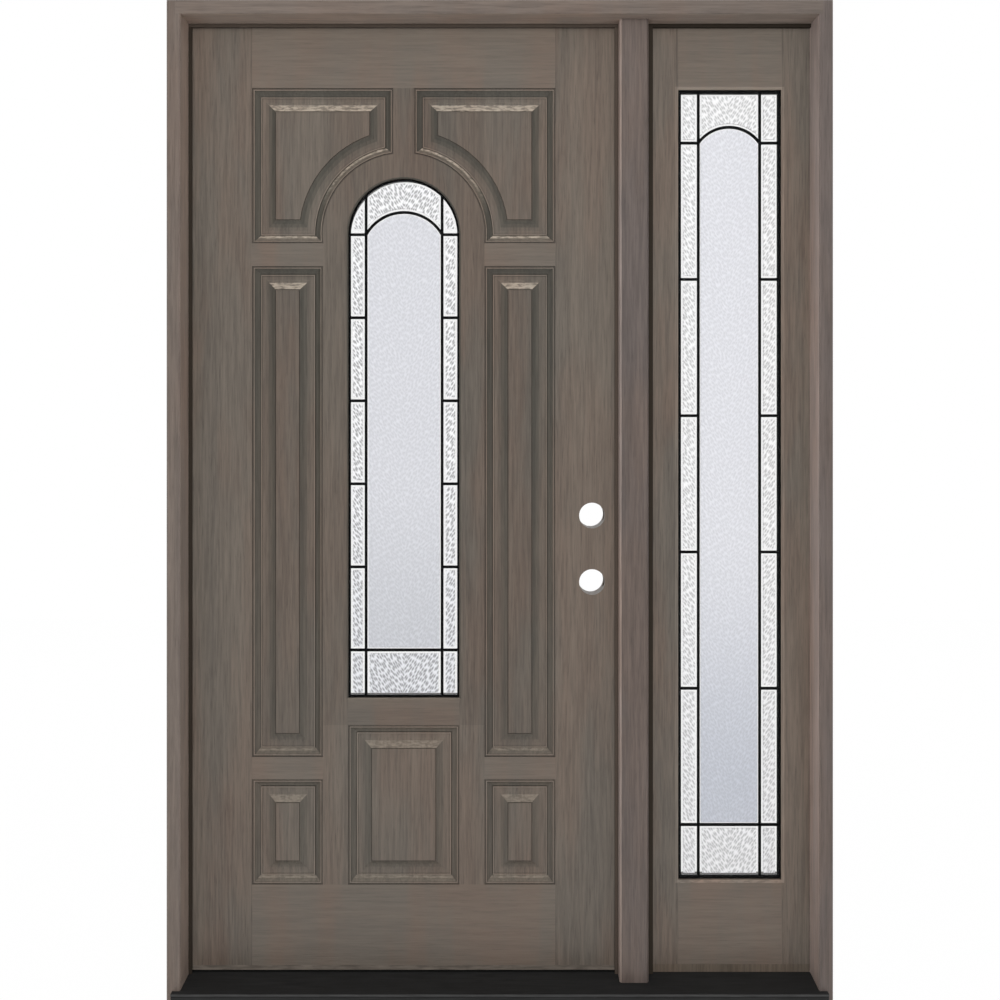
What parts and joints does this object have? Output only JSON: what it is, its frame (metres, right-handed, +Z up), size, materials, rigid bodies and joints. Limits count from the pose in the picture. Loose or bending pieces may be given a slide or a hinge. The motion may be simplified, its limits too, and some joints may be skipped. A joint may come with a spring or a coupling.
{
  "type": "prehung entry door",
  "caption": "Prehung fiberglass entry door with raised panels, a round-top leaded light and a fixed leaded sidelite, in a rabbeted jamb frame with a sloped sill; the slab swings inward.",
  "frame": {"origin": "on the underside of the sill, under the middle of the frame's width and the jambs' depth", "axes": "+X to the right seen from outside, +Y into the house, +Z up"},
  "size_m": [1.361, 0.1415, 2.06],
  "materials": {
    "stained_skin": "grey stain over moulded wood grain, satin",
    "stained_jamb": "grey stain, satin",
    "core_lumber": "sawn",
    "foam": "rigid foam",
    "clear_glass": "polished",
    "textured_glass": "obscure texture",
    "black_came": "black patina",
    "hinge_steel": "satin",
    "dark_seal": "matte",
    "dark_sill": "dark anodised",
    "sill_composite": "matte"
  },
  "bodies": {
    "frame": {"hinge_jamb": "stained_jamb", "sidelite_jamb": "stained_jamb", "head_jamb": "stained_jamb", "mullion_post": "stained_jamb", "sill_substrate": "sill_composite", "sill_deck": "dark_sill", "threshold_cap": "sill_composite", "sidelite_base": "core_lumber", "hinge_weatherstrip": "dark_seal", "latch_weatherstrip": "dark_seal", "head_weatherstrip": "dark_seal", "sidelite_gasket": "dark_seal", "sidelite_exterior_skin": "stained_skin", "sidelite_interior_skin": "stained_skin", "sidelite_left_stile": "core_lumber", "sidelite_right_stile": "core_lumber", "sidelite_top_rail": "core_lumber", "sidelite_bottom_rail": "core_lumber", "sidelite_outer_pane": "clear_glass", "sidelite_came": "black_came", "sidelite_art_glass": "textured_glass", "sidelite_inner_pane": "clear_glass", "bottom_hinge_jamb_leaf": "hinge_steel", "middle_hinge_jamb_leaf": "hinge_steel", "top_hinge_jamb_leaf": "hinge_steel", "bottom_hinge_pin": "hinge_steel", "middle_hinge_pin": "hinge_steel", "top_hinge_pin": "hinge_steel"},
    "door": {"door_exterior_skin": "stained_skin", "door_interior_skin": "stained_skin", "hinge_stile": "core_lumber", "lock_stile": "core_lumber", "lock_block": "core_lumber", "door_top_rail": "core_lumber", "door_bottom_rail": "core_lumber", "foam_core": "foam", "door_outer_pane": "clear_glass", "door_came": "black_came", "door_art_glass": "textured_glass", "door_inner_pane": "clear_glass", "door_sweep": "dark_seal", "bottom_hinge_door_leaf": "hinge_steel", "middle_hinge_door_leaf": "hinge_steel", "top_hinge_door_leaf": "hinge_steel"}
  },
  "joints": [
    {"name": "door_swing", "type": "hinge", "parent": "frame", "child": "door", "pos_m": [-0.661, 0.065, 0], "axis": [0, 0, 1], "range_deg": [0, 180]}
  ]
}
